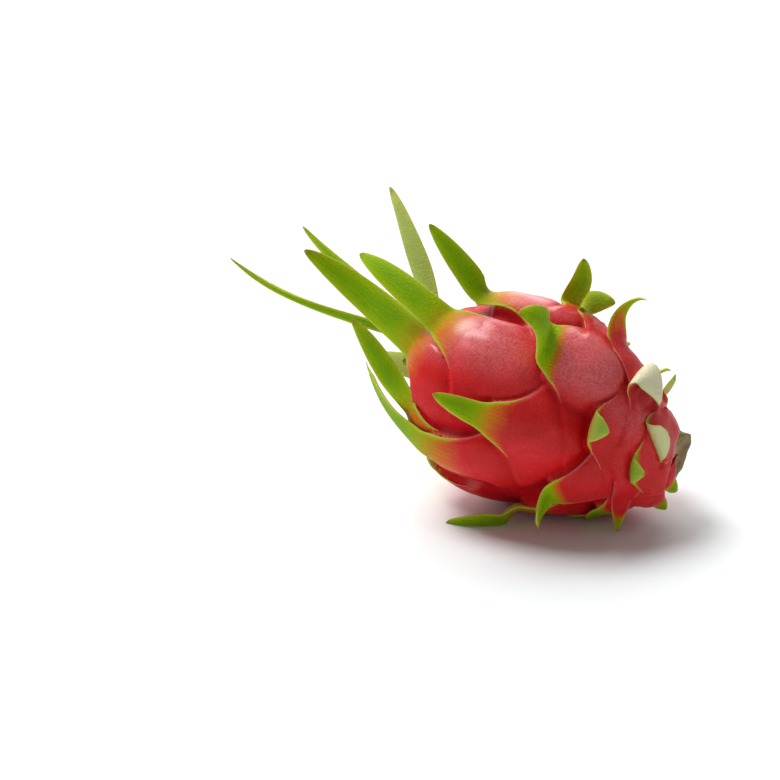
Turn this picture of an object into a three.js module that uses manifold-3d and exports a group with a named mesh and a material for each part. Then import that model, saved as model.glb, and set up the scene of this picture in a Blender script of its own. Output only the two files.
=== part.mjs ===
// A whole dragon fruit (pitaya) lying on its side, in millimetres, +Z up.
// +X points along the fruit to its cut stalk, -Y to the front, and Z = 0 is the surface it lies on.
// The fruit is an egg-shaped body under overlapping scales. Each scale is a swollen panel of skin
// that ends in a free tongue, short near the stalk and long and leafy round the flower end.

import * as THREE from 'three';
import Module from 'manifold-3d';

const wasm = await Module();
wasm.setup();

// Body: a profile turned about the fruit's own axis.
const FLOWER_LENGTH = 57;
const STALK_LENGTH = 54.5;
const WAIST = 39;
const FULLNESS = 0.9;
const EGG = 0.17;
const TAPER = 0.14;
const DROOP = 6;

// Pose on the floor.
const TILT = 15;
const CENTRE_HEIGHT = 42;

// Skin relief and the hollow at the flower end.
const PANEL_SWELL = 6.5;
const STEP_DOWN = 5.5;
const STEP_RUN = 4.5;
const HOLLOW_LEVEL = -3;
const WIDEST_ROOT = 16;
const CRATER_RADIUS = 11;
const CRATER_DEPTH = 9;

// Mesh fineness.
const BODY_RINGS = 32;
const BODY_SIDES = 42;
const PATH_STEPS = 160;
const LONG_STOPS = [0.08, 0.2, 0.36, 0.54, 0.72, 0.86, 0.95];
const SHORT_STOPS = [0.16, 0.4, 0.68, 0.92];

// Tongues.
const ROOT_SINK = 3.2;
const PROUD = 0.6;
const RIM_THICKNESS = 0.9;
const FLOOR_BITE = 0.35;

// Stalk and flower scar, each in its own socket.
const GAP = 0.3;
const STALK = { from: 45, to: 54, radius: 10.4, ribs: 3, ribDepth: 1.3, slant: 0.42, up: 2.4 };
const SCAR = { from: -46, to: -54.5, radius: 5.6, ribs: 9, ribDepth: 0.5, slant: 0, up: 0 };

const rad = (degrees) => degrees * Math.PI / 180;
const clamp = (value, low, high) => Math.min(Math.max(value, low), high);
const mix = (a, b, t) => a + (b - a) * t;

/** Eases from 0 at t = 0 to 1 at t = 1. */
function smooth(t) {
  const c = clamp(t, 0, 1);
  return c * c * (3 - 2 * c);
}

/** A repeatable draw between -1 and 1 for a seed. */
function draw(seed) {
  const value = Math.sin(seed * 12.9898 + 4.1414) * 43758.5453;
  return 2 * (value - Math.floor(value)) - 1;
}

// ---------------------------------------------------------------- body profile

/** Rows of the body's profile from the stalk end to the flower end, by length along it. */
function buildMeridian(steps) {
  const rows = [];
  for (let i = 0; i <= steps; i += 1) {
    const angle = Math.PI * i / steps;
    const c = Math.cos(angle);
    const narrowing = 1 - EGG * c - TAPER * Math.max(c, 0) ** 2;
    const x = (c > 0 ? STALK_LENGTH : FLOWER_LENGTH) * c;
    const r = WAIST * Math.max(Math.sin(angle), 0) ** FULLNESS * narrowing;
    const last = rows[i - 1];
    const arc = last ? last.arc + Math.hypot(x - last.x, r - last.r) : 0;
    rows.push({ angle, arc, x, r });
  }
  rows.forEach((row, i) => {
    const a = rows[Math.max(i - 1, 0)];
    const b = rows[Math.min(i + 1, steps)];
    const length = Math.hypot(b.x - a.x, b.r - a.r);
    row.nx = (b.r - a.r) / length;
    row.nr = (a.x - b.x) / length;
  });
  return rows;
}

const meridian = buildMeridian(720);
const ARC_LENGTH = meridian[720].arc;

/** Values of the profile where its key reaches a value. */
function meridianAt(key, value) {
  let low = 0;
  let high = meridian.length - 1;
  while (high - low > 1) {
    const middle = (low + high) >> 1;
    if (meridian[middle][key] <= value) low = middle;
    else high = middle;
  }
  const a = meridian[low];
  const b = meridian[high];
  const t = clamp((value - a[key]) / (b[key] - a[key]), 0, 1);
  return {
    arc: mix(a.arc, b.arc, t),
    x: mix(a.x, b.x, t),
    r: mix(a.r, b.r, t),
    nx: mix(a.nx, b.nx, t),
    nr: mix(a.nr, b.nr, t),
  };
}

/** How far the fruit's axis hangs below its straight line. */
function sagAt(x) {
  return DROOP * clamp(x / STALK_LENGTH, 0, 1) ** 2;
}

/** Point at a height above the bare body. */
function skin(arc, turn, height) {
  const m = meridianAt('arc', arc);
  const x = m.x + height * m.nx;
  const d = m.r + height * m.nr;
  return new THREE.Vector3(x, -d * Math.cos(turn), d * Math.sin(turn) - sagAt(x));
}

/** Outward direction of the bare body. */
function skinNormal(arc, turn) {
  const m = meridianAt('arc', arc);
  return new THREE.Vector3(m.nx, -m.nr * Math.cos(turn), m.nr * Math.sin(turn));
}

/** Turns a point of the upright fruit to its pose on the floor. */
function toFloor(p) {
  const c = Math.cos(rad(TILT));
  const s = Math.sin(rad(TILT));
  return new THREE.Vector3(p.x * c + p.z * s, p.y, p.z * c - p.x * s + CENTRE_HEIGHT);
}

// ---------------------------------------------------------------- scales

/**
 * One scale. station runs from 0 at the stalk to 180 at the flower end, and turn goes round from
 * 0 at the front over 90 at the top, both at the foot of the tongue. tongue and root are half
 * widths. back is how far behind the foot the panel is root wide, wide the half width of its
 * swelling, and sunk how deep it lies. lift is how far the tongue leaves the skin, curl how far it
 * bends on, lean how far it points off the fruit's length, sweep its sideways bend and twist its
 * roll. rise is the length over which it leaves the skin, and taper narrows it to its tip.
 */
function scale(station, turn, length, tongue, root, shape) {
  return {
    station: meridianAt('angle', rad(station)).arc,
    turn: rad(turn),
    length,
    tongue,
    root,
    back: shape.back ?? root * 0.95,
    wide: shape.wide ?? 1.3 * Math.min(root, WIDEST_ROOT),
    thick: 2.6 + 0.02 * length,
    swell: shape.swell ?? 1,
    sunk: shape.sunk ?? 0,
    taper: shape.taper ?? 0,
    rise: shape.rise ?? 8,
    lift: rad(shape.lift ?? 0),
    curl: rad(shape.curl ?? 0),
    lean: rad(shape.lean ?? 0),
    sweep: rad(shape.sweep ?? 0),
    twist: rad(shape.twist ?? 0),
  };
}

const nearScales = [
  // long leaves round the flower end
  scale(139, 55, 53.5, 5.4, 18, {
    back: 21, wide: 24, lift: 50, curl: -42, lean: 28, sweep: 4, twist: 8, swell: 0.9,
  }),
  scale(157, 43, 68, 6.6, 17, {
    back: 18, wide: 28, lift: 26, curl: 58, lean: 30, sweep: 15, twist: 2, swell: 0.75,
  }),
  scale(127.6, -29, 53.5, 5.6, 12.5, {
    back: 22, lift: 2, curl: -32, lean: -17, sweep: 26, twist: 6, swell: 0.8,
  }),
  scale(144, -24, 46.5, 4.8, 12, {
    back: 12, wide: 20, lift: 16, curl: 12, lean: 26, sweep: 19, twist: -42, swell: 0.6, sunk: 0.8,
  }),
  scale(120.7, 82.4, 42, 4.7, 14, {
    lift: 63, curl: -12, lean: -3, sweep: 24, twist: 67, rise: 13.4, swell: 0.7,
  }),
  scale(151.5, 92.5, 66, 4.4, 10, {
    lift: 118, curl: 6, lean: -54, sweep: -34, twist: -27, swell: 0.15, sunk: 3,
  }),
  scale(167, 74, 93.5, 2, 6, { lift: 53, curl: 47, lean: 41, sweep: -83, twist: 49, swell: 0.4 }),
  scale(156, 150, 90, 3.4, 8, {
    lift: 79, curl: 16, lean: 75, sweep: -79, twist: 23, swell: 0.2, sunk: 1.2,
  }),
  // broad scales round the middle
  scale(106.8, 7.4, 25.5, 4.3, 18.3, {
    back: 14.5, lift: 15, curl: 36, lean: 1, sweep: 22, twist: -7, taper: 0.1,
  }),
  scale(92.4, 53.3, 31, 9, 27.9, { back: 12, lift: 113, curl: -101, lean: -3, sweep: -30, taper: 0.16 }),
  scale(93.4, 110, 25, 4.7, 12, {
    lift: 131, curl: 1, lean: 60, sweep: 60, twist: -7, rise: 9, swell: 0.4,
  }),
  scale(87, 100, 18, 4.4, 12, {
    lift: 129, curl: 42, lean: 35, sweep: -3, twist: -100, rise: 6, swell: 0.4,
  }),
  scale(84.8, -59, 37, 3.6, 12, { lift: 66, curl: -64, lean: 12, sweep: -45, twist: -46, swell: 0.6 }),
  // small scales towards the stalk, some with the tip folded back
  scale(74.7, -25.8, 17.2, 5, 14.8, {
    back: 20, wide: 22, lift: 44, curl: 43, lean: -30, sweep: -63, twist: 2, swell: 0.85, taper: 0.39,
  }),
  scale(67.6, 21.5, 8.3, 5.4, 27.6, {
    back: 10.6, lift: 174, curl: 5, lean: -6, rise: 4.5, swell: 0.8, taper: 0.25,
  }),
  scale(66, 84, 31.5, 5.9, 13, { curl: 150, lean: 12, sweep: 37, twist: 60, swell: 0.45, taper: 0.65 }),
  scale(52, -51, 11.5, 4.5, 12, { lift: 2, curl: 9, lean: -45, swell: 0.7 }),
  scale(46.7, -20.4, 19.4, 4.2, 11, {
    lift: 18, curl: 3, lean: -84, sweep: -12, twist: -20, swell: 0.65, taper: 0.3,
  }),
  scale(55.7, 71.4, 17, 10, 19.8, {
    back: 4, lift: 170, curl: 39, lean: 13, sweep: 8, twist: -13, rise: 5, swell: 0.4, taper: 0.5,
  }),
  scale(44.4, 5.6, 7, 5.6, 19.9, {
    back: 7.3, lift: 138, curl: -13, lean: -19, rise: 4, swell: 0.75, taper: 0.25,
  }),
  scale(38, 39.4, 7.7, 8.6, 10, {
    back: 11.3, wide: 17, lift: 173, lean: -48, sweep: -24, twist: -17, rise: 4, swell: 0.45, taper: 0.2,
  }),
  scale(41.8, 80, 14, 3.3, 8, { lift: 62, curl: -6, lean: 68, sweep: -32, twist: 149, swell: 0.15 }),
  scale(27, -50, 9.5, 3, 10, { wide: 15, lift: 14, curl: 21, lean: -120, swell: 0.9 }),
  scale(15, -30, 9.5, 3, 8, { lift: 24, lean: -120, swell: 0.4 }),
];

// Rows of scales on the far side: the first one's turn, the spacing round the fruit and the count.
const farRows = [
  {
    station: 45, turn: 124, step: 42, count: 4,
    length: 12, tongue: 4.5, root: 11, lift: 50, curl: 70, swell: 0.1,
  },
  {
    station: 67, turn: 160, step: 41, count: 4,
    length: 17, tongue: 4.6, root: 13.5, lift: 48, curl: 60, swell: 0.75,
  },
  {
    station: 99, turn: 174, step: 42, count: 3,
    length: 32, tongue: 5.4, root: 16.5, lift: 40, curl: 28, swell: 0.85,
  },
  {
    station: 127, turn: 150, step: 42, count: 4,
    length: 36, tongue: 5.2, root: 14.5, lift: 68, curl: 10, swell: 0.75,
  },
  {
    station: 149, turn: 166, step: 40, count: 3,
    length: 35, tongue: 4.8, root: 13, lift: 76, curl: 0, swell: 0.55,
  },
  {
    station: 165, turn: 200, step: 60, count: 2,
    length: 12, tongue: 4, root: 9, lift: 35, curl: 10, swell: 0.1,
  },
];

/** The scales of one far row, each drawn a little off its place and pressed short underneath. */
function spreadRow(row, rowIndex) {
  const scales = [];
  for (let i = 0; i < row.count; i += 1) {
    const seed = 10 * rowIndex + i;
    const turn = row.turn + i * row.step + 3 * draw(seed);
    const under = Math.max(0, Math.cos(rad(turn - 270))) ** 2;
    const length = row.length * (1 - 0.78 * under) * (1 + 0.06 * draw(seed + 0.3));
    const lean = 12 * draw(seed + 0.6) * (1 - under);
    scales.push(scale(row.station + 2 * draw(seed + 0.9), turn, length, row.tongue, row.root, {
      lift: mix(row.lift, -8, under),
      curl: mix(row.curl, 0, under),
      lean,
      sweep: lean,
      twist: (turn - 270) * under,
      swell: row.swell,
    }));
  }
  return scales;
}

const allScales = [...nearScales, ...farRows.flatMap(spreadRow)];
allScales.sort((a, b) => b.station - a.station);

/** Distances of a skin point from a scale's foot: along the tongue, across it, and round. */
function toScale(s, arc, turn) {
  const v = arc - s.station;
  const round = Math.atan2(Math.sin(turn - s.turn), Math.cos(turn - s.turn));
  const u = meridianAt('arc', arc).r * round;
  const c = Math.cos(s.lean);
  const n = Math.sin(s.lean);
  return { along: v * c + u * n, across: u * c - v * n, round: Math.abs(round) };
}

/** Skin position of a point along and across a scale. */
function fromScale(s, along, across) {
  const c = Math.cos(s.lean);
  const n = Math.sin(s.lean);
  const arc = clamp(s.station + along * c - across * n, 2, ARC_LENGTH - 2);
  const r = Math.max(meridianAt('arc', arc).r, 4);
  return { arc, turn: s.turn + (along * n + across * c) / r };
}

/** Half width of a scale's free part: a flare over the panel, then a tongue to a point. */
function halfWidth(s, along) {
  const t = clamp(along / s.length, 0, 1);
  const flare = (s.root - s.tongue) * Math.exp(-(along + s.back) / (0.55 * s.back));
  const belly = 1 + 0.12 * Math.sin(Math.PI * clamp(1.1 * t, 0, 1));
  const narrowed = (1 - s.taper * t) ** 2 * (1 - t ** 3) ** 0.6;
  return s.tongue * narrowed * belly + flare * (1 - t) ** 2;
}

/** Where along a scale its margin lies, at a distance across it. */
function marginAt(s, across) {
  const share = Math.max(Math.abs(across) - s.tongue, 0.02 * s.root) / (s.root - s.tongue);
  return Math.min(-s.back - 0.55 * s.back * Math.log(share), 2);
}

/** Height of a scale's swollen panel, which steps down past the scale's margin. */
function panelHeight(s, along, across, stepped) {
  const long = 1.75 * s.back + 6;
  const dome = 1 - (across / s.wide) ** 2 - ((along + 0.7 * s.back) / long) ** 2;
  if (!stepped) return PANEL_SWELL * s.swell * dome - s.sunk;
  const past = smooth((along - marginAt(s, across) + 0.5) / STEP_RUN);
  const inside = 1 - 0.85 * smooth((Math.abs(across) - s.root) / (0.7 * s.root));
  return s.swell * (PANEL_SWELL * dome - STEP_DOWN * past * inside) - s.sunk;
}

/** Height of the skin: the highest of all panels, rounded where they meet. */
function relief(arc, turn, own) {
  let height = HOLLOW_LEVEL;
  for (const s of allScales) {
    const p = toScale(s, arc, turn);
    if (p.round < 1.7) {
      const h = panelHeight(s, p.along, p.across, s !== own);
      height = Math.max(height, h) + 0.135 * Math.exp(-Math.abs(height - h) / 0.45);
    }
  }
  return height;
}

// ---------------------------------------------------------------- meshes

/** Closed surface through rings of points, with an end point before the first and after the last. */
function loft(start, rings, end, mirrored = () => false) {
  const sides = rings[0].length;
  const points = [...rings.flat(), start, end];
  const first = points.length - 2;
  const triangles = [];
  for (let i = 0; i < rings.length - 1; i += 1) {
    for (let j = 0; j < sides; j += 1) {
      const k = (j + 1) % sides;
      const a = i * sides + j;
      const b = i * sides + k;
      const c = a + sides;
      const d = b + sides;
      if (mirrored(j)) triangles.push(a, b, c, b, d, c);
      else triangles.push(a, b, d, a, d, c);
    }
  }
  const last = (rings.length - 1) * sides;
  for (let j = 0; j < sides; j += 1) {
    const k = (j + 1) % sides;
    triangles.push(first, k, j, first + 1, last + j, last + k);
  }
  return toSolid(points.map(toFloor), triangles);
}

/** Six times the volume that triangles enclose, negative when they face inwards. */
function enclosed(points, triangles) {
  let sum = 0;
  const normal = new THREE.Vector3();
  for (let i = 0; i < triangles.length; i += 3) {
    normal.crossVectors(points[triangles[i + 1]], points[triangles[i + 2]]);
    sum += points[triangles[i]].dot(normal);
  }
  return sum;
}

/** A solid for joining and cutting, with its faces turned out. */
function toSolid(points, triangles) {
  const order = enclosed(points, triangles) < 0 ? triangles.toReversed() : triangles;
  const vertProperties = new Float32Array(points.flatMap((p) => [p.x, p.y, p.z]));
  const triVerts = new Uint32Array(order);
  return new wasm.Manifold(new wasm.Mesh({ numProp: 3, vertProperties, triVerts }));
}

/** The largest piece of a solid, without loose scraps and sealed hollows. */
function mainPiece(solid) {
  return solid.decompose().reduce((best, piece) => (piece.volume() > best.volume() ? piece : best));
}

/** A solid as a three.js geometry. */
function toGeometry(solid) {
  const mesh = solid.getMesh();
  const geometry = new THREE.BufferGeometry();
  geometry.setAttribute('position', new THREE.BufferAttribute(new Float32Array(mesh.vertProperties), 3));
  geometry.setIndex(new THREE.BufferAttribute(new Uint32Array(mesh.triVerts), 1));
  geometry.computeVertexNormals();
  return geometry;
}

// ---------------------------------------------------------------- body solid

/** The body with its relief and the hollow at the flower end. */
function bodySolid() {
  const rings = [];
  for (let i = 0; i < BODY_RINGS; i += 1) {
    const t = i / (BODY_RINGS - 1);
    const eased = 0.35 * (1 - Math.cos(mix(0.01, Math.PI - 0.01, t))) / 2;
    const arc = ARC_LENGTH * (eased + 0.65 * mix(0.006, 0.994, t));
    const hollow = CRATER_DEPTH * smooth(1 - (ARC_LENGTH - arc) / (1.6 * CRATER_RADIUS));
    const fade = smooth((arc - 6) / 8);
    const ring = [];
    for (let j = 0; j < BODY_SIDES; j += 1) {
      const turn = 2 * Math.PI * (j + 0.5 * (i % 2)) / BODY_SIDES;
      const raised = (relief(arc, turn, null) - HOLLOW_LEVEL) * fade;
      ring.push(skin(arc, turn, HOLLOW_LEVEL + raised - hollow));
    }
    rings.push(ring);
  }
  return loft(centre(rings[0]), rings, centre(rings[BODY_RINGS - 1]));
}

/** Mean of some points. */
function centre(points) {
  const sum = points.reduce((total, p) => total.add(p), new THREE.Vector3());
  return sum.divideScalar(points.length);
}

// ---------------------------------------------------------------- tongues

/** The panel's surface at a place on a scale, carried on without its step. */
function onPanel(s, along, across, height) {
  const p = fromScale(s, along, across);
  return skin(p.arc, p.turn, panelHeight(s, along, across, false) + height);
}

/** Frames along a tongue: its centre line c, direction d, width w and outward face m. */
function tonguePath(s) {
  const foot = onPanel(s, 0, 0, PROUD);
  const ahead = onPanel(s, 0.6, 0, PROUD).sub(foot).normalize();
  const beside = onPanel(s, 0, 0.6, PROUD).sub(foot);
  const side = beside.addScaledVector(ahead, -beside.dot(ahead)).normalize();
  const out = side.clone().cross(ahead);
  const place = fromScale(s, 0, 0);
  if (out.dot(skinNormal(place.arc, place.turn)) < 0) out.negate();
  const up = new THREE.Vector3(-Math.sin(rad(TILT)), 0, Math.cos(rad(TILT)));
  const frames = [];
  const c = foot.clone();
  let before = null;
  for (let i = 0; i <= PATH_STEPS; i += 1) {
    const t = i / PATH_STEPS;
    const bend = s.lift * smooth(t * s.length / s.rise) + s.curl * t ** 1.2;
    const turn = s.sweep * t;
    const d = ahead.clone().multiplyScalar(Math.cos(bend) * Math.cos(turn));
    d.addScaledVector(side, Math.cos(bend) * Math.sin(turn)).addScaledVector(out, Math.sin(bend));
    if (before) c.addScaledVector(before.clone().add(d), 0.5 * s.length / PATH_STEPS);
    const w = side.clone().addScaledVector(d, -side.dot(d)).normalize();
    const m = d.clone().cross(w);
    if (i === 0 ? m.dot(out) < 0 : m.dot(frames[i - 1].plainM) < 0) m.negate();
    const roll = s.twist * smooth(t / 0.45);
    const rolledW = w.clone().multiplyScalar(Math.cos(roll)).addScaledVector(m, Math.sin(roll));
    const rolledM = m.clone().multiplyScalar(Math.cos(roll)).addScaledVector(w, -Math.sin(roll));
    const reach = halfWidth(s, t * s.length) * Math.abs(rolledW.dot(up));
    const rise = Math.max(0, reach - FLOOR_BITE - c.dot(up) - CENTRE_HEIGHT);
    frames.push({ c: c.clone().addScaledVector(up, rise), d, w: rolledW, m: rolledM, plainM: m });
    before = d;
  }
  return frames;
}

/** A tongue with its root under the panel: flat lens sections that leave the skin at its foot. */
function tongueSolid(s) {
  const frames = tonguePath(s);
  const stops = s.length > 40 ? LONG_STOPS : SHORT_STOPS;
  const stations = [-s.back, -0.5 * s.back, 0, ...stops.map((stop) => stop * s.length)];
  const sections = [[-1, 0], [0, 0], [1, 0], [1, 1], [0, 1], [-1, 1]];
  const rings = stations.map((along) => {
    const t = clamp(along / s.length, 0, 1);
    const frame = frames[Math.round(t * PATH_STEPS)];
    const wide = Math.max(halfWidth(s, along), 0.8);
    const mid = s.thick * (1 - 0.55 * t) * clamp((1 - t) * 7, 0.3, 1);
    const rim = Math.min(RIM_THICKNESS, 0.75 * mid);
    const bend = mix(1 / 42, 1 / 14, t);
    const sink = (ROOT_SINK + PROUD) * smooth((along + s.back) / s.back) - ROOT_SINK;
    const freed = smooth((along + 1) / s.rise);
    return sections.map(([side, under]) => {
      const across = wide * side;
      const depth = under * (side === 0 ? mid : rim);
      const p = fromScale(s, along, across);
      const base = Math.max(relief(p.arc, p.turn, s), panelHeight(s, along, across, false));
      const rooted = skin(p.arc, p.turn, base + sink - depth);
      const angle = bend * across;
      const free = frame.c.clone()
        .addScaledVector(frame.w, Math.sin(angle) / bend - depth * Math.sin(angle))
        .addScaledVector(frame.m, (Math.cos(angle) - 1) / bend - depth * Math.cos(angle));
      return rooted.lerp(free, freed);
    });
  });
  const last = frames[PATH_STEPS];
  const tip = last.c.clone().addScaledVector(last.m, -0.3);
  return loft(centre(rings[0]), rings, tip, (j) => j > 2);
}

// ---------------------------------------------------------------- stalk and scar

/** A ribbed plug along the fruit's axis with a slanting outer end, grown all round by an amount. */
function plugSolid(plug, grow, sides, bevel) {
  const way = Math.sign(plug.to - plug.from);
  const ends = [plug.from - way * grow, plug.to + way * grow];
  const stops = [[0, 0.9], [0.12, 1], [0.86, 1], [1, bevel]];
  const rings = stops.map(([t, share]) => {
    const ring = [];
    for (let j = 0; j < sides; j += 1) {
      const angle = 2 * Math.PI * j / sides;
      const ribbed = plug.radius + plug.ribDepth * Math.cos(plug.ribs * angle);
      const r = ribbed * share + grow;
      const slant = plug.slant * r * Math.cos(angle) * smooth((t - 0.2) / 0.7);
      const x = mix(ends[0], ends[1], t) - slant;
      const z = r * Math.sin(angle) - sagAt(x) + plug.up;
      ring.push(new THREE.Vector3(x, -r * Math.cos(angle), z));
    }
    return ring;
  });
  return loft(centre(rings[0]), rings, centre(rings[rings.length - 1]));
}

/** Everything below the floor. */
function underFloor() {
  const block = new THREE.BoxGeometry(400, 400, 60);
  const corners = block.getAttribute('position');
  const points = [];
  const seen = new Map();
  const order = [];
  for (let i = 0; i < corners.count; i += 1) {
    const p = new THREE.Vector3().fromBufferAttribute(corners, i).setZ(corners.getZ(i) - 30);
    const key = p.toArray().join();
    if (!seen.has(key)) seen.set(key, points.push(p) - 1);
    order.push(seen.get(key));
  }
  return toSolid(points, Array.from(block.getIndex().array, (corner) => order[corner]));
}

// ---------------------------------------------------------------- assembly

let fruit = bodySolid();
for (const s of allScales) {
  fruit = fruit.add(tongueSolid(s));
}
fruit = fruit.subtract(underFloor());
fruit = fruit.subtract(plugSolid(STALK, GAP, 30, 1));
fruit = fruit.subtract(plugSolid(SCAR, GAP, 36, 1));

const skinMaterial = new THREE.MeshStandardMaterial({ color: 0xc4283c, roughness: 0.42, metalness: 0 });
const stalkMaterial = new THREE.MeshStandardMaterial({ color: 0x6f7d33, roughness: 0.7, metalness: 0 });
const scarMaterial = new THREE.MeshStandardMaterial({ color: 0x5a3f28, roughness: 0.85, metalness: 0 });

const group = new THREE.Group();
const pieces = [
  ['fruit', mainPiece(fruit), skinMaterial],
  ['stem_stub', plugSolid(STALK, 0, 30, 0.9), stalkMaterial],
  ['flower_scar', plugSolid(SCAR, 0, 36, 0.8), scarMaterial],
];
for (const [name, solid, material] of pieces) {
  const mesh = new THREE.Mesh(toGeometry(solid), material);
  mesh.name = name;
  group.add(mesh);
}

export default group;
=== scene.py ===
"""Dresses the dragon fruit: fine skin with its overlapping scales, long leafy tongues, the cut
stalk and the dry flower remains, on a pale floor in soft light.

Shapes are worked out in millimetres in the fruit's own frame (x along the fruit towards the
stalk, turn 0 at the front and 90 degrees at the top) and put on the floor in metres."""

import math

import bpy
import numpy as np
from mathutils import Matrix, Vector


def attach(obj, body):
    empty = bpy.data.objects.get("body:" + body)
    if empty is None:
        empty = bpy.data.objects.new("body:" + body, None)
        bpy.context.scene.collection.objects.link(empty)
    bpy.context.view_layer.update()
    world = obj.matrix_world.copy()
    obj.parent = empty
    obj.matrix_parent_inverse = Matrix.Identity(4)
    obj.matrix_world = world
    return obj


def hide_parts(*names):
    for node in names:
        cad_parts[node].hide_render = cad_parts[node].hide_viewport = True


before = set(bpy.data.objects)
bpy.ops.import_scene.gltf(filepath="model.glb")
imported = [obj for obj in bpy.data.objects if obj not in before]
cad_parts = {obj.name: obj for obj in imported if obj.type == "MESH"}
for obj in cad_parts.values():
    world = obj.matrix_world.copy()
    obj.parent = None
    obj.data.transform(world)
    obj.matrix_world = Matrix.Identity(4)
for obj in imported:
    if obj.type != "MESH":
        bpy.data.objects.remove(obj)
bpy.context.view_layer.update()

# Body profile, the same as the solids'.
FLOWER_LENGTH = 57.0
STALK_LENGTH = 54.5
WAIST = 39.0
FULLNESS = 0.9
EGG = 0.17
TAPER = 0.14
DROOP = 6.0

# Pose on the floor.
TILT = math.radians(15)
CENTRE_HEIGHT = 42.0

# Skin relief and the hollow at the flower end.
PANEL_SWELL = 6.5
STEP_DOWN = 5.5
STEP_RUN = 2.2
LIP = 1.5
LIP_RUN = 2.6
GROOVE = 2.0
GROOVE_RUN = 2.2
HOLLOW_LEVEL = -3.0
CRATER_RADIUS = 11.0
CRATER_DEPTH = 9.0
SMOOTH_END = 6.0
SMOOTH_END_RUN = 8.0
FILLET = 0.135
FILLET_RUN = 0.45
LAP = 0.4
REACH_ROUND = 1.7
FLARE_RUN = 0.55
SKIN_ROWS, SKIN_SIDES = 296, 312

# Where the colours change: heights in millimetres, the first for the painted highlight on the crests and
# the second for the painted shade in the folds, then the swell of a scale that turns green from its foot
# on, and how ripe the skin itself can look.
CREST_FROM, CREST_RUN = 2.6, 3.4
VALLEY_FROM, VALLEY_RUN = 0.2, 3.2
FULL_COLOUR_SWELL = 0.5
MOST_RIPE_SKIN = 0.48

# Tongues.
PROUD = 0.6
ROOT_SINK = 0.7
RIM_THICKNESS = 0.9
FLOOR_BITE = 0.35
CUP_RADIUS_FOOT, CUP_RADIUS_TIP = 42.0, 14.0
WAVE_HEIGHT = 0.35
PATH_STEPS = 160

# Stalk and flower scar: ends along the fruit, radius, ribs, rib depth and slant of the outer end.
STALK = dict(start=45.0, end=54.0, radius=10.4, ribs=3, rib_depth=1.3, slant=0.42, up=2.4)
SCAR = dict(start=-46.0, end=-54.5, radius=5.6, ribs=9, rib_depth=0.5, slant=0.0, up=0.0)


# ---------------------------------------------------------------- helpers

def ease(t):
    """Rises from 0 at t = 0 to 1 at t = 1 as 3t^2 - 2t^3, flat outside."""
    t = np.clip(t, 0.0, 1.0)
    return t * t * (3.0 - 2.0 * t)


def unit(v):
    """Each vector divided by its length."""
    return v / np.linalg.norm(v, axis=-1, keepdims=True)


def draw(seed):
    """A repeatable draw between -1 and 1: the fractional part of a large multiple of a sine."""
    value = math.sin(seed * 12.9898 + 4.1414) * 43758.5453
    return 2.0 * (value - math.floor(value)) - 1.0


def ripple(p, wave, seed):
    """Smooth unevenness between about -1 and 1: the mean of six sine waves that run through space
    in drawn directions, each with a wavelength near wave millimetres."""
    rng = np.random.default_rng(seed)
    ways = unit(rng.normal(size=(6, 3)))
    waves = wave * rng.uniform(0.75, 1.35, 6)
    shifts = rng.uniform(0.0, 2.0 * np.pi, 6)
    return np.sin(p @ (ways.T * 2.0 * np.pi / waves) + shifts).mean(-1) * 1.6


# ---------------------------------------------------------------- body profile

ANGLE = np.linspace(0.0, np.pi, 721)
NARROWING = 1.0 - EGG * np.cos(ANGLE) - TAPER * np.maximum(np.cos(ANGLE), 0.0) ** 2
PROFILE_X = np.where(ANGLE < np.pi / 2.0, STALK_LENGTH, FLOWER_LENGTH) * np.cos(ANGLE)
PROFILE_R = WAIST * np.maximum(np.sin(ANGLE), 0.0) ** FULLNESS * NARROWING
ARC = np.concatenate([[0.0], np.cumsum(np.hypot(np.diff(PROFILE_X), np.diff(PROFILE_R)))])
ARC_LENGTH = ARC[-1]
SLOPE_X, SLOPE_R = np.gradient(PROFILE_X, ARC), np.gradient(PROFILE_R, ARC)
NORMAL_X = SLOPE_R / np.hypot(SLOPE_X, SLOPE_R)
NORMAL_R = -SLOPE_X / np.hypot(SLOPE_X, SLOPE_R)


def skin_point(arc, turn, height):
    """Point height above the bare body: the profile is moved out along its normal, turned round
    the fruit's axis, and sags towards the stalk with the square of the distance from the middle."""
    x = np.interp(arc, ARC, PROFILE_X) + height * np.interp(arc, ARC, NORMAL_X)
    d = np.interp(arc, ARC, PROFILE_R) + height * np.interp(arc, ARC, NORMAL_R)
    sag = DROOP * np.clip(x / STALK_LENGTH, 0.0, 1.0) ** 2
    return np.stack([x, -d * np.cos(turn), d * np.sin(turn) - sag], -1)


def skin_normal(arc, turn):
    """Outward direction of the bare body: the profile's normal turned round the fruit's axis."""
    nx, nr = np.interp(arc, ARC, NORMAL_X), np.interp(arc, ARC, NORMAL_R)
    return np.stack([nx, -nr * np.cos(turn), nr * np.sin(turn)], -1)


def on_floor(p):
    """Fruit frame to the row frame in metres: tipped by TILT about y, raised, and pressed flat
    where it would pass through the floor."""
    x = p[..., 0] * math.cos(TILT) + p[..., 2] * math.sin(TILT)
    z = p[..., 2] * math.cos(TILT) - p[..., 0] * math.sin(TILT) + CENTRE_HEIGHT
    return np.stack([x, p[..., 1], np.maximum(z, 0.0)], -1) / 1000.0


FRUIT_UP = np.array([-math.sin(TILT), 0.0, math.cos(TILT)])


# ---------------------------------------------------------------- scales

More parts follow.
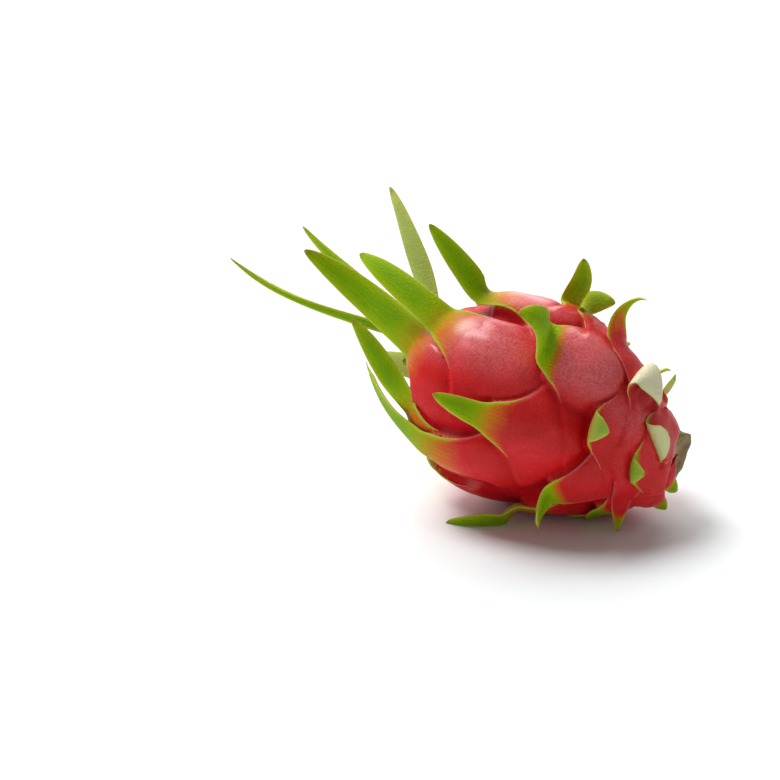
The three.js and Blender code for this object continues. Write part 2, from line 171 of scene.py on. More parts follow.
def scale(station, turn, length, tongue, root, back=0, wide=0, lift=0, curl=0, lean=0, sweep=0,
          twist=0, swell=1.0, sunk=0.0, rise=8.0, taper=0.0, green_at=0.0, green_over=0.0, pale=0.7):
    """One scale as a dict, with its angles in radians. station runs from 0 at the stalk to 180 at
    the flower end, and turn goes round the fruit, both at the tongue's foot; tongue and root are
    half widths, back is how far behind the foot the panel is root wide, and wide is the half width
    of its dome; swell is the share of the full dome that it has and sunk how deep it lies; lift,
    curl, sweep and twist bend the tongue, which leaves the skin over the length rise; taper narrows
    it; lean points it off the fruit's length; green_at and green_over say where, and over what
    length, its red skin turns green, and pale how light the inner face is."""
    return dict(
        station=float(np.interp(math.radians(station), ANGLE, ARC)), turn=math.radians(turn),
        length=length, tongue=tongue, root=root, taper=taper, thick=2.6 + 0.02 * length,
        back=back or 0.95 * root, wide=wide or 1.3 * min(root, 16.0), swell=swell, sunk=sunk,
        rise=rise, lift=math.radians(lift), curl=math.radians(curl), lean=math.radians(lean),
        sweep=math.radians(sweep), twist=math.radians(twist), pale=pale,
        green_at=green_at, green_over=green_over or 14.0 + 0.45 * length)


NEAR_SCALES = [
    # long leaves round the flower end
    scale(139, 55, 53.5, 5.4, 18, back=21, wide=24, lift=50, curl=-42, lean=28, sweep=4, twist=8,
          swell=0.9),
    scale(157, 43, 68, 6.6, 17, back=18, wide=28, lift=26, curl=58, lean=30, sweep=15, twist=2,
          swell=0.75),
    scale(127.6, -29, 53.5, 5.6, 12.5, back=22, lift=2, curl=-32, lean=-17, sweep=26, twist=6,
          swell=0.8),
    scale(144, -24, 46.5, 4.8, 12, back=12, wide=20, lift=16, curl=12, lean=26, sweep=19, twist=-42,
          swell=0.6, sunk=0.8),
    scale(120.7, 82.4, 42, 4.7, 14, lift=63, curl=-12, lean=-3, sweep=24, twist=67, rise=13.4,
          swell=0.7),
    scale(151.5, 92.5, 66, 4.4, 10, lift=118, curl=6, lean=-54, sweep=-34, twist=-27, swell=0.15,
          sunk=3.0, pale=0.75),
    scale(167, 74, 93.5, 2, 6, lift=53, curl=47, lean=41, sweep=-83, twist=49, swell=0.4),
    scale(156, 150, 90, 3.4, 8, lift=79, curl=16, lean=75, sweep=-79, twist=23, swell=0.2, sunk=1.2),
    # broad scales round the middle
    scale(106.8, 7.4, 25.5, 4.3, 18.3, back=14.5, lift=15, curl=36, lean=1, sweep=22, twist=-7,
          taper=0.1),
    scale(92.4, 53.3, 31, 9, 27.9, back=12, lift=113, curl=-101, lean=-3, sweep=-30, taper=0.16,
          green_over=8),
    scale(93.4, 110, 25, 4.7, 12, lift=131, curl=1, lean=60, sweep=60, twist=-7, rise=9, swell=0.4),
    scale(87, 100, 18, 4.4, 12, lift=129, curl=42, lean=35, sweep=-3, twist=-100, rise=6, swell=0.4,
          pale=0.1),
    scale(84.8, -59, 37, 3.6, 12, lift=66, curl=-64, lean=12, sweep=-45, twist=-46, swell=0.6),
    # small scales towards the stalk, some with the tip folded back
    scale(74.7, -25.8, 17.2, 5, 14.8, back=20, wide=22, lift=44, curl=43, lean=-30, sweep=-63, twist=2,
          swell=0.85, taper=0.39, green_over=8),
    scale(67.6, 21.5, 8.3, 5.4, 27.6, back=10.6, lift=174, curl=5, lean=-6, rise=4.5, swell=0.8,
          taper=0.25, green_at=2, green_over=5, pale=0.4),
    scale(66, 84, 31.5, 5.9, 13, curl=150, lean=12, sweep=37, twist=60, swell=0.45, taper=0.65,
          green_at=17),
    scale(52, -51, 11.5, 4.5, 12, lift=2, curl=9, lean=-45, swell=0.7, green_over=8),
    scale(46.7, -20.4, 19.4, 4.2, 11, lift=18, curl=3, lean=-84, sweep=-12, twist=-20, swell=0.65,
          taper=0.3, green_at=14, green_over=8),
    scale(55.7, 71.4, 17, 10, 19.8, back=4, lift=170, curl=39, lean=13, sweep=8, twist=-13, rise=5,
          swell=0.4, taper=0.5, green_at=3, green_over=5, pale=1.5),
    scale(44.4, 5.6, 7, 5.6, 19.9, back=7.3, lift=138, curl=-13, lean=-19, rise=4, swell=0.75,
          taper=0.25, green_at=1, green_over=5, pale=0.25),
    scale(38, 39.4, 7.7, 8.6, 10, back=11.3, wide=17, lift=173, lean=-48, sweep=-24, twist=-17, rise=4,
          swell=0.45, taper=0.2, green_at=2, green_over=6, pale=1.15),
    scale(41.8, 80, 14, 3.3, 8, lift=62, curl=-6, lean=68, sweep=-32, twist=149, swell=0.15, green_at=9),
    scale(27, -50, 9.5, 3, 10, wide=15, lift=14, curl=21, lean=-120, swell=0.9, green_at=4,
          green_over=7),
    scale(15, -30, 9.5, 3, 8, lift=24, lean=-120, swell=0.4, green_at=3, green_over=7),
]

# Rows of scales on the far side: the first one's turn, the spacing round the fruit and the count.
FAR_ROWS = [
    dict(station=45, turn=124, step=42, count=4, length=12, tongue=4.5, root=11,
         lift=50, curl=70, swell=0.1),
    dict(station=67, turn=160, step=41, count=4, length=17, tongue=4.6, root=13.5,
         lift=48, curl=60, swell=0.75),
    dict(station=99, turn=174, step=42, count=3, length=32, tongue=5.4, root=16.5,
         lift=40, curl=28, swell=0.85),
    dict(station=127, turn=150, step=42, count=4, length=36, tongue=5.2, root=14.5,
         lift=68, curl=10, swell=0.75),
    dict(station=149, turn=166, step=40, count=3, length=35, tongue=4.8, root=13,
         lift=76, curl=0, swell=0.55),
    dict(station=165, turn=200, step=60, count=2, length=12, tongue=4, root=9,
         lift=35, curl=10, swell=0.1),
]


def spread_row(row, row_index):
    """The scales of one far row, evenly spaced and each drawn a little off its place. Under the
    fruit, as the square of the cosine from straight down, they are short and pressed close."""
    scales = []
    for i in range(row["count"]):
        seed = 10 * row_index + i
        turn = row["turn"] + i * row["step"] + 3.0 * draw(seed)
        under = max(0.0, math.cos(math.radians(turn - 270.0))) ** 2
        length = row["length"] * (1.0 - 0.78 * under) * (1.0 + 0.06 * draw(seed + 0.3))
        lean = 12.0 * draw(seed + 0.6) * (1.0 - under)
        scales.append(scale(
            row["station"] + 2.0 * draw(seed + 0.9), turn, length, row["tongue"], row["root"],
            lift=row["lift"] + (-8.0 - row["lift"]) * under, curl=row["curl"] * (1.0 - under),
            lean=lean, sweep=lean, twist=(turn - 270.0) * under, swell=row["swell"]))
    return scales


ALL_SCALES = NEAR_SCALES + [s for i, row in enumerate(FAR_ROWS) for s in spread_row(row, i)]
LAYING_ORDER = sorted(range(len(ALL_SCALES)), key=lambda i: -ALL_SCALES[i]["station"])


def to_scale(s, arc, turn):
    """Distances of skin points from a scale's foot, along its tongue, across it and in turn."""
    round_about = (turn - s["turn"] + np.pi) % (2.0 * np.pi) - np.pi
    v = arc - s["station"]
    u = np.interp(arc, ARC, PROFILE_R) * round_about
    c, n = math.cos(s["lean"]), math.sin(s["lean"])
    return v * c + u * n, u * c - v * n, np.abs(round_about)


def from_scale(s, along, across):
    """Skin place of points along and across a scale, the reverse of to_scale near its foot."""
    c, n = math.cos(s["lean"]), math.sin(s["lean"])
    arc = np.clip(s["station"] + along * c - across * n, 2.0, ARC_LENGTH - 2.0)
    r = np.maximum(np.interp(arc, ARC, PROFILE_R), 4.0)
    return arc, s["turn"] + (along * n + across * c) / r


def half_width(s, along):
    """Half width of a scale's free part: an exponential flare over the panel and a tongue that
    bellies a little and then closes to a point."""
    t = np.clip(along / s["length"], 0.0, 1.0)
    flare = (s["root"] - s["tongue"]) * np.exp(-(along + s["back"]) / (FLARE_RUN * s["back"]))
    belly = 1.0 + 0.12 * np.sin(np.pi * np.clip(1.1 * t, 0.0, 1.0))
    tongue = s["tongue"] * (1.0 - s["taper"] * t) ** 2 * (1.0 - t ** 3) ** 0.6 * belly
    return tongue + flare * (1.0 - t) ** 2


def margin_at(s, across):
    """How far along a scale its margin lies, at a distance across it: the flare reversed."""
    share = np.maximum(np.abs(across) - s["tongue"], 0.02 * s["root"]) / (s["root"] - s["tongue"])
    return np.minimum(-s["back"] - FLARE_RUN * s["back"] * np.log(share), 2.0)


def sideways(s, across):
    """1 over a scale's width, eased to 0 past its sides."""
    return 1.0 - ease((np.abs(across) - 0.9 * s["root"]) / (0.8 * s["root"]))


def panel_height(s, along, across, stepped):
    """Height of a scale's panel: a paraboloid that, if stepped, drops past the scale's margin."""
    long = 1.75 * s["back"] + 6.0
    dome = 1.0 - (across / s["wide"]) ** 2 - ((along + 0.7 * s["back"]) / long) ** 2
    if not stepped:
        return PANEL_SWELL * s["swell"] * dome - s["sunk"]
    past = ease((along - margin_at(s, across) + 0.5) / STEP_RUN)
    inside = 1.0 - 0.85 * ease((np.abs(across) - s["root"]) / (0.7 * s["root"]))
    return s["swell"] * (PANEL_SWELL * dome - STEP_DOWN * past * inside) - s["sunk"]


def margin_detail(s, along, across):
    """A low lip along a scale's margin and a groove just past it, both exponentials of the distance
    to the margin, which run out to the sides."""
    ahead = margin_at(s, across) - along
    bare = ease((np.abs(across) / s["root"] - 0.8) / 0.3)
    lip = LIP * bare * np.exp(-np.maximum(ahead, 0.0) / LIP_RUN) * ease((ahead + 0.8) / 1.6)
    groove = GROOVE * np.exp(-np.maximum(-ahead - 0.5, 0.0) / GROOVE_RUN) * ease((0.4 - ahead) / 1.6)
    start = ease((along + 3.0 * s["back"]) / s["back"])
    return (lip - groove) * sideways(s, across) * start * (0.35 + 0.65 * s["swell"])


def ripeness(green_at, green_over, along, to_margin):
    """How far a place has turned from red skin (0) to green tip (1): it passes half at green_at
    from the foot, and runs ahead along the margins."""
    lead = 0.40 * (1.0 - ease(to_margin / 1.8)) * ease((along + 16.0) / 12.0)
    return np.clip(0.5 + (along - green_at) / green_over + lead, 0.0, 1.0)


def relief(arc, turn, own=None):
    """Height of the skin: the highest of all panels, laid from the flower end to the stalk, with a
    small fillet that fades with the difference between them, and each one's lip and groove; own is
    a scale that is left without its step and margin. Then, for the panel on top: the place along
    and across it, its number, and 1 within its margin; and the line along the margins that show, as
    a bell curve of the distance, with how ripe it is."""
    height = np.full(np.broadcast(arc, turn).shape, HOLLOW_LEVEL)
    along, across = np.full(height.shape, -30.0), np.zeros(height.shape)
    index = np.zeros(height.shape, int)
    within, seam, seam_ripe = (np.zeros(height.shape) for _ in range(3))
    for i in LAYING_ORDER:
        s = ALL_SCALES[i]
        a, b, round_about = to_scale(s, arc, turn)
        near = round_about < REACH_ROUND
        h = np.where(near, panel_height(s, a, b, s is not own), 3.0 * HOLLOW_LEVEL)
        wins = h > height - LAP
        along, across = np.where(wins, a, along), np.where(wins, b, across)
        index = np.where(wins, i, index)
        to_margin = margin_at(s, b) - a
        within = np.where(wins, ease((to_margin - 0.2) / 1.6), within)
        open_there = near & (panel_height(s, a, b, False) > height - LAP)
        line = ease((np.abs(b) / s["root"] - 0.75) / 0.3) * sideways(s, b)
        line = line * min(1.0, 2.0 * s["swell"]) * open_there * np.exp(-(to_margin / 1.2) ** 2)
        shown = np.where(wins, 1.0 - ease(to_margin), 1.0)
        seam, seam_ripe = seam * shown, seam_ripe * shown
        seam = np.maximum(seam, line)
        at_margin = ripeness(s["green_at"], s["green_over"], a, 0.0)
        seam_ripe = np.maximum(seam_ripe, 0.9 * line * at_margin)
        height = np.maximum(height, h) + FILLET * np.exp(-np.abs(height - h) / FILLET_RUN)
        if s is not own:
            height = height + np.where(near, margin_detail(s, a, b), 0.0)
    return height, along, across, index, within, seam, seam_ripe


# ---------------------------------------------------------------- meshes

def new_mesh(name, points, faces, attributes, material):
    """A piece from points in the fruit frame and its quads and triangles, with one number a point
    for each named attribute."""
    p = on_floor(points)
    quads, tris = faces
    mesh = bpy.data.meshes.new(name)
    mesh.vertices.add(len(p))
    mesh.vertices.foreach_set("co", p.astype(np.float32).ravel())
    loops = np.concatenate([quads.ravel(), tris.ravel()])
    mesh.loops.add(len(loops))
    mesh.loops.foreach_set("vertex_index", loops.astype(np.int32))
    starts = np.concatenate([4 * np.arange(len(quads)), 4 * len(quads) + 3 * np.arange(len(tris))])
    mesh.polygons.add(len(starts))
    mesh.polygons.foreach_set("loop_start", starts.astype(np.int32))
    mesh.polygons.foreach_set("use_smooth", np.ones(len(starts), bool))
    mesh.update(calc_edges=True)
    for key, values in attributes.items():
        layer = mesh.attributes.new(key, "FLOAT", "POINT")
        layer.data.foreach_set("value", np.asarray(values, np.float32).ravel())
    mesh.materials.append(material)
    piece = bpy.data.objects.new(name, mesh)
    bpy.context.scene.collection.objects.link(piece)
    return piece


def loft_faces(rows, sides):
    """Quads between rings of points and triangle fans to a start and an end point, which come
    after the rings. The order turns with the rings, so the faces look one way."""
    i, j = np.meshgrid(np.arange(rows - 1), np.arange(sides), indexing="ij")
    k = (j + 1) % sides
    ring, after = i * sides, (i + 1) * sides
    quads = np.stack([ring + j, ring + k, after + k, after + j], -1).reshape(-1, 4)
    j = np.arange(sides)
    k = (j + 1) % sides
    start, last = np.full(sides, rows * sides), (rows - 1) * sides
    tris = np.concatenate([
        np.stack([start, k, j], -1), np.stack([start + 1, last + j, last + k], -1)])
    return quads, tris


def turned_out(points, quads, tris):
    """The faces as they are, or all reversed if the volume they enclose is negative."""
    a, b, c, d = (points[quads[:, n]] for n in range(4))
    volume = np.einsum("ij,ij->", a, np.cross(b, c)) + np.einsum("ij,ij->", a, np.cross(c, d))
    a, b, c = (points[tris[:, n]] for n in range(3))
    volume += np.einsum("ij,ij->", a, np.cross(b, c))
    return (quads[:, ::-1], tris[:, ::-1]) if volume < 0 else (quads, tris)


# ---------------------------------------------------------------- the pieces

def softened(grid):
    """Each value mixed with its neighbours, a quarter from each side, round the fruit and then
    along it."""
    grid = 0.5 * grid + 0.25 * (np.roll(grid, 1, 1) + np.roll(grid, -1, 1))
    grid[1:-1] = 0.5 * grid[1:-1] + 0.25 * (grid[2:] + grid[:-2])
    return grid


def with_ends(values, start, end):
    """A grid of values as one row, with the values of the start and end points after it."""
    return np.concatenate([values.ravel(), [start, end]])


def wax_and_highlight_share(turn, height):
    """How much painted highlight and wax a place gets: a smooth step of its height, which counts most
    where the sine of its turn is large, on the top side where the light falls, so the top is painted
    paler; there it never falls to nothing."""
    lit_top = ease((np.sin(turn) - 0.3) / 0.45)
    return 0.25 * lit_top + (0.1 + 0.65 * lit_top) * ease((height - CREST_FROM) / CREST_RUN)


def fold_shade_share(height):
    """How much a place is a deep fold, where shade is painted in as a deeper red: a smooth step down
    with its height.
    """
    return 1.0 - ease((height - VALLEY_FROM) / VALLEY_RUN)


def make_skin(material):
    """The body's skin: rings along the profile, a cosine closer at its ends, raised by the panels'
    relief and a faint ripple, smooth at the stalk and sunk into a round hollow at the flower."""
    rows, sides = SKIN_ROWS, SKIN_SIDES
    t = np.linspace(0.0, 1.0, rows)
    eased = 0.35 * (1.0 - np.cos(0.01 + (np.pi - 0.02) * t)) / 2.0
    arc = (ARC_LENGTH * (eased + 0.65 * (0.006 + 0.988 * t)))[:, None] * np.ones(sides)
    turn = (2.0 * np.pi * np.arange(sides) / sides)[None, :] * np.ones((rows, 1))
    height, along, across, index, within, seam, seam_ripe = relief(arc, turn)
    height, seam, seam_ripe = softened(softened(height)), softened(seam), softened(seam_ripe)
    hollow = CRATER_DEPTH * ease(1.0 - (ARC_LENGTH - arc) / (1.6 * CRATER_RADIUS))
    fade = ease((arc - SMOOTH_END) / SMOOTH_END_RUN)
    bare = skin_point(arc, turn, 0.0)
    uneven = 0.35 * ripple(bare, 17.0, 5) + 0.16 * ripple(bare, 7.0, 6)
    grid = skin_point(arc, turn, HOLLOW_LEVEL + (height - HOLLOW_LEVEL + uneven) * fade - hollow)
    green_at, green_over, swell = (
        np.array([s[key] for s in ALL_SCALES])[index] for key in ("green_at", "green_over", "swell"))
    ripe = np.minimum(ripeness(green_at, green_over, along, 9.0), MOST_RIPE_SKIN)
    ripe = np.maximum(ripe * within * ease(swell / FULL_COLOUR_SWELL), seam_ripe)
    points = np.concatenate([grid.reshape(-1, 3), [grid[0].mean(0)], [grid[-1].mean(0)]])
    quads, tris = turned_out(points, *loft_faces(rows, sides))
    none, full = np.zeros_like(ripe), np.ones_like(ripe)
    # The crest share holds the painted highlight and the wax on the top side's crests; valley holds how
    # deep a fold is, for its painted shade.
    attributes = dict(
        ripe=with_ends(ripe, 0.0, 0.0), rim=with_ends(1.0 - 0.8 * seam, 1.0, 1.0),
        core=with_ends(full, 1.0, 1.0), wax_and_highlight=with_ends(wax_and_highlight_share(turn, height), 0.0, 0.0),
        inner=with_ends(none, 0.0, 0.0), tip=with_ends(none, 0.0, 0.0),
        valley=with_ends(fold_shade_share(height), 0.0, 1.0),
        along=with_ends(along, 0.0, 0.0), across=with_ends(across, 0.0, 0.0))
    return new_mesh("fruit_skin", points, (quads, tris), attributes, material)


def tongue_path(s):
    """Centre line, width and outward face along a tongue. From its foot the direction turns up by
    lift over the rise and by curl towards the tip, and sideways by sweep; the face rolls by twist
    over the first half; and the whole is raised where it would pass through the floor."""
    t = np.linspace(0.0, 1.0, PATH_STEPS + 1)

    def foot(along, across):
        arc, turn = from_scale(s, np.array(along), np.array(across))
        return skin_point(arc, turn, panel_height(s, along, across, False) + PROUD)

    start = foot(0.0, 0.0)
    ahead = unit(foot(0.6, 0.0) - start)
    beside = foot(0.0, 0.6) - start
    side = unit(beside - (beside @ ahead) * ahead)
    out = np.cross(side, ahead)
    arc, turn = from_scale(s, np.array(0.0), np.array(0.0))
    out = out * np.sign(out @ skin_normal(arc, turn))
    bend = s["lift"] * ease(t * s["length"] / s["rise"]) + s["curl"] * t ** 1.2
    yaw = s["sweep"] * t
    d = (np.cos(bend) * np.cos(yaw))[:, None] * ahead + (np.cos(bend) * np.sin(yaw))[:, None] * side
    d = d + np.sin(bend)[:, None] * out
    steps_taken = 0.5 * (d[1:] + d[:-1]) * s["length"] / PATH_STEPS
    centre = start + np.concatenate([np.zeros((1, 3)), np.cumsum(steps_taken, 0)])
    w = unit(side - (d @ side)[:, None] * d)
    m = np.cross(d, w)
    m = m * np.sign(m[0] @ out)
    roll = (s["twist"] * ease(t / 0.45))[:, None]
    w, m = np.cos(roll) * w + np.sin(roll) * m, np.cos(roll) * m - np.sin(roll) * w
    reach = half_width(s, t * s["length"]) * np.abs(w @ FRUIT_UP)
    rise = np.maximum(0.0, reach - FLOOR_BITE - centre @ FRUIT_UP - CENTRE_HEIGHT)
    return t, centre + rise[:, None] * FRUIT_UP, d, w, m


def tongue_points(s, rows, sides, seed):
    """One scale's free part as rings: a thin lens section that lies on its own panel at the root and,
    past the foot, leaves it along the tongue's path, cupped as an arc of a circle and with a faint sine
    wave along its margin. Then, for its points, the place along and across it, the distance to the
    margin, how much they are inner face, and how much painted highlight and wax from the crests and
    painted shade from the valleys they get."""
    length, back = s["length"], s["back"]
    rooted = max(4, rows // 3)
    out_rows = length * 0.992 * np.linspace(0.0, 1.0, rows - rooted) ** 0.97
    along = np.concatenate([np.linspace(-back, 0.0, rooted, endpoint=False), out_rows])
    g = 2.0 * np.pi * np.arange(sides) / sides
    side, face = np.cos(g), np.sin(g)
    side = np.sign(side) * np.abs(side) ** 0.85
    t = np.clip(along / length, 0.0, 1.0)
    wide = half_width(s, along)
    mid = s["thick"] * (1.0 - 0.55 * t) * np.clip((1.0 - t) * 7.0, 0.3, 1.0)
    rim = np.minimum(RIM_THICKNESS, 0.75 * mid)
    thick = rim[:, None] + (mid - rim)[:, None] * (1.0 - side ** 2)
    depth = 0.5 * thick * (1.0 - np.sign(face) * np.abs(face) ** 0.5)
    across = wide[:, None] * side
    a = np.broadcast_to(along[:, None], across.shape)
    arc, turn = from_scale(s, a, across)
    base = np.maximum(relief(arc, turn, own=s)[0], panel_height(s, a, across, False))
    sink = (ROOT_SINK + PROUD) * ease((a + back) / back) - ROOT_SINK
    on_panel = skin_point(arc, turn, base + sink - depth)
    path_t, centre, d, w, m = tongue_path(s)
    at = lambda f: np.stack([np.interp(t, path_t, f[:, k]) for k in range(3)], -1)
    c, w, m = at(centre), unit(at(w)), unit(at(m))
    bend = (1.0 / CUP_RADIUS_FOOT + (1.0 / CUP_RADIUS_TIP - 1.0 / CUP_RADIUS_FOOT) * t)[:, None]
    angle = bend * across
    wave = WAVE_HEIGHT * np.sin(a / (0.16 * length + 3.0) * 2.0 + seed + np.sign(side) * 0.8)
    wave = wave * np.abs(side) ** 3 * ease(a / 10.0) * ease((length - a) / 10.0)
    lateral = np.sin(angle) / bend - depth * np.sin(angle)
    outward = (np.cos(angle) - 1.0) / bend - depth * np.cos(angle) + wave
    free = c[:, None, :] + lateral[..., None] * w[:, None, :] + outward[..., None] * m[:, None, :]
    grid = on_panel + (free - on_panel) * ease((a + 1.0) / s["rise"])[..., None]
    tip = c[-1] - 0.3 * m[-1] + 0.4 * unit(c[-1] - c[-2])
    points = np.concatenate([grid.reshape(-1, 3), [grid[0].mean(0)], [tip]])
    to_margin = wide[:, None] * (1.0 - np.abs(side))
    inner = ease(0.5 - 1.4 * face)[None, :] * ease((a + 1.0) / 4.0)
    wax_and_highlight, valley = wax_and_highlight_share(turn, base), fold_shade_share(base) * (1.0 - ease((a + 3.0) / 3.0))
    return points, a, across, to_margin, inner, wax_and_highlight, valley


def make_tongues(material):
    """All scales' free parts in one piece, each a closed loft of its own."""
    all_points, all_quads, all_tris = [], [], []
    fields = {key: [] for key in (
        "ripe", "rim", "core", "wax_and_highlight", "inner", "tip", "valley", "along", "across")}
    count = 0
    for n, s in enumerate(ALL_SCALES):
        rows, sides = (60, 30) if s["length"] > 40 else (40, 26)
        points, along, across, to_margin, inner, wax_and_highlight, valley = tongue_points(
            s, rows, sides, float(n))
        quads, tris = turned_out(points, *loft_faces(rows, sides))
        all_points.append(points)
        all_quads.append(quads + count)
        all_tris.append(tris + count)
        count += len(points)
        ripe = ripeness(s["green_at"], s["green_over"], along, to_margin)
        foot = ease(s["swell"] / FULL_COLOUR_SWELL)
        ripe = ripe * (foot + (1.0 - foot) * ease((along + 3.0) / 7.0))
        fields["ripe"].append(with_ends(ripe, 0.0, 1.0))
        fields["rim"].append(with_ends(ease(to_margin / 0.9), 1.0, 0.0))
        fields["core"].append(with_ends(ease(to_margin / (0.75 * s["tongue"])), 1.0, 0.0))
        fields["wax_and_highlight"].append(with_ends(wax_and_highlight, 0.0, 0.0))
        fields["inner"].append(with_ends(inner * s["pale"], 0.0, 0.3))
        fields["tip"].append(with_ends(ease((along / s["length"] - 0.9) / 0.1), 0.0, 1.0))
        fields["valley"].append(with_ends(valley, 0.0, 0.0))
        fields["along"].append(with_ends(along, -s["back"], s["length"]))
        fields["across"].append(with_ends(across, 0.0, 0.0))
    attributes = {key: np.concatenate(parts) for key, parts in fields.items()}
    faces = (np.concatenate(all_quads), np.concatenate(all_tris))
    return new_mesh("scale_tongues", np.concatenate(all_points), faces, attributes, material)


def make_plug(name, plug, material, rows, sides, dish, fray):
    """A ribbed stub along the fruit's axis: rings whose radius waves round with the ribs and
    narrows at the rim, then a dished end face; fray makes the wall and the end uneven."""
    way = math.copysign(1.0, plug["end"] - plug["start"])
    t = np.concatenate([
        np.linspace(0.0, 0.9, rows), np.full(4, 1.0), np.linspace(1.0, 0.9, rows // 2)])
    share = np.concatenate([
        np.linspace(0.94, 1.0, rows), [0.99, 0.96, 0.92, 0.86], np.linspace(0.8, 0.08, rows // 2)])
    turn = 2.0 * np.pi * np.arange(sides) / sides
    ribbed = plug["radius"] + plug["rib_depth"] * np.cos(plug["ribs"] * turn)
    r = share[:, None] * ribbed[None, :]
    inside = ease((1.0 - share)[:, None] * (t[:, None] >= 0.9) * 1.3)
    x = plug["start"] + (plug["end"] - plug["start"]) * t[:, None] - way * dish * inside
    x = x - plug["slant"] * r * np.cos(turn) * ease((t[:, None] - 0.2) / 0.7)
    points = np.stack([x, -r * np.cos(turn), r * np.sin(turn)], -1)
    rough = fray * ripple(points, 3.2, 11) * ease((t[:, None] - 0.15) / 0.5)
    x = x + way * rough
    r = r * (1.0 + 0.02 * ripple(points, 5.0, 12))
    sag = DROOP * np.clip(x / STALK_LENGTH, 0.0, 1.0) ** 2 - plug["up"]
    grid = np.stack([x, -r * np.cos(turn), r * np.sin(turn) - sag], -1)
    points = np.concatenate([grid.reshape(-1, 3), [grid[0].mean(0)], [grid[-1].mean(0)]])
    quads, tris = turned_out(points, *loft_faces(len(t), sides))
    cut = np.broadcast_to(ease((1.0 - share) / 0.12)[:, None] * (t[:, None] >= 0.9), r.shape)
    rib = np.broadcast_to(0.5 + 0.5 * np.cos(plug["ribs"] * turn), r.shape)
    centre = np.broadcast_to(1.0 - share[:, None], r.shape)
    attributes = dict(cut=with_ends(cut, 0.0, 1.0), rib=with_ends(rib, 0.0, 0.5),
                      centre=with_ends(centre, 0.0, 1.0))
    return new_mesh(name, points, (quads, tris), attributes, material)


# ---------------------------------------------------------------- material helpers

def new_node(tree, kind, values=None, **settings):
    """Adds a node, sets its properties from settings and its sockets from values, where a value
    that is another node's socket is linked."""
    node = tree.nodes.new(kind)
    for key, value in settings.items():
        setattr(node, key, value)
    for key, value in (values or {}).items():
        if isinstance(value, bpy.types.NodeSocket):
            tree.links.new(value, node.inputs[key])
        else:
            node.inputs[key].default_value = value
    return node


def colour_steps(tree, factor, steps):
    """A colour ramp over factor with (position, colour) steps."""
    node = new_node(tree, "ShaderNodeValToRGB", {0: factor})
    ramp = node.color_ramp
    while len(ramp.elements) < len(steps):
        ramp.elements.new(0.5)
    for element, (position, colour) in zip(ramp.elements, steps):
        element.position = position
        element.color = (*colour, 1.0)
    return node.outputs[0]


def mix_colour(tree, factor, a, b):
    """Mixes colour b over a by factor."""
    node = new_node(tree, "ShaderNodeMix", data_type="RGBA")
    for key, value in ((0, factor), (6, a), (7, b)):
        if isinstance(value, bpy.types.NodeSocket):
            tree.links.new(value, node.inputs[key])
        elif key == 0:
            node.inputs[key].default_value = value
        else:
            node.inputs[key].default_value = (*value, 1.0)
    return node.outputs[2]


def reckon(tree, operation, a, b=0.0, clamp=False):
    """One arithmetic step on numbers or sockets."""
    node = new_node(tree, "ShaderNodeMath", {0: a, 1: b}, operation=operation, use_clamp=clamp)
    return node.outputs[0]


def remap(tree, value, low, high, to_low=0.0, to_high=1.0):
    """Maps value from one range to another, eased and held at the ends."""
    node = new_node(tree, "ShaderNodeMapRange", {
        0: value, 1: low, 2: high, 3: to_low, 4: to_high}, interpolation_type="SMOOTHSTEP")
    return node.outputs[0]


def attribute(tree, name):
    """A number stored on the piece's points."""
    return new_node(tree, "ShaderNodeAttribute", attribute_name=name).outputs["Fac"]


def grain_group():
    """Shared grain: a fine pebbled height, a patchy mask and rare small spots, from the place."""
    tree = bpy.data.node_groups.new("plant grain", "ShaderNodeTree")
    tree.interface.new_socket("Vector", in_out="INPUT", socket_type="NodeSocketVector")
    for name, value in (("Pebble Scale", 900.0), ("Patch Scale", 60.0), ("Spot Scale", 240.0)):
        socket = tree.interface.new_socket(name, in_out="INPUT", socket_type="NodeSocketFloat")
        socket.default_value = value
    for name in ("Pebbles", "Patches", "Spots"):
        tree.interface.new_socket(name, in_out="OUTPUT", socket_type="NodeSocketFloat")
    source = new_node(tree, "NodeGroupInput").outputs
    pebble = new_node(tree, "ShaderNodeTexNoise", {
        "Vector": source["Vector"], "Scale": source["Pebble Scale"], "Detail": 2.0, "Roughness": 0.6})
    patch = new_node(tree, "ShaderNodeTexNoise", {
        "Vector": source["Vector"], "Scale": source["Patch Scale"], "Detail": 4.0, "Roughness": 0.55})
    spots = new_node(tree, "ShaderNodeTexVoronoi", {
        "Vector": source["Vector"], "Scale": source["Spot Scale"]}, feature="F1")
    result = new_node(tree, "NodeGroupOutput")
    tree.links.new(pebble.outputs[0], result.inputs["Pebbles"])
    tree.links.new(patch.outputs[0], result.inputs["Patches"])
    tree.links.new(remap(tree, spots.outputs["Distance"], 0.2, 0.08), result.inputs["Spots"])
    return tree


def new_material(name):
    """A material with its tree, its Principled shader and the object coordinates."""
    material = bpy.data.materials.new(name)
    material.use_nodes = True
    tree = material.node_tree
    shader = tree.nodes["Principled BSDF"]
    place = new_node(tree, "ShaderNodeTexCoord").outputs["Object"]
    return material, tree, shader, place


GRAIN = grain_group()


def place_grain(tree, place, pebble, patch, spot):
    """The shared grain's outputs, with this material's own scales."""
    node = tree.nodes.new("ShaderNodeGroup")
    node.node_tree = GRAIN
    tree.links.new(place, node.inputs["Vector"])
    node.inputs["Pebble Scale"].default_value = pebble
    node.inputs["Patch Scale"].default_value = patch
    node.inputs["Spot Scale"].default_value = spot
    return node.outputs
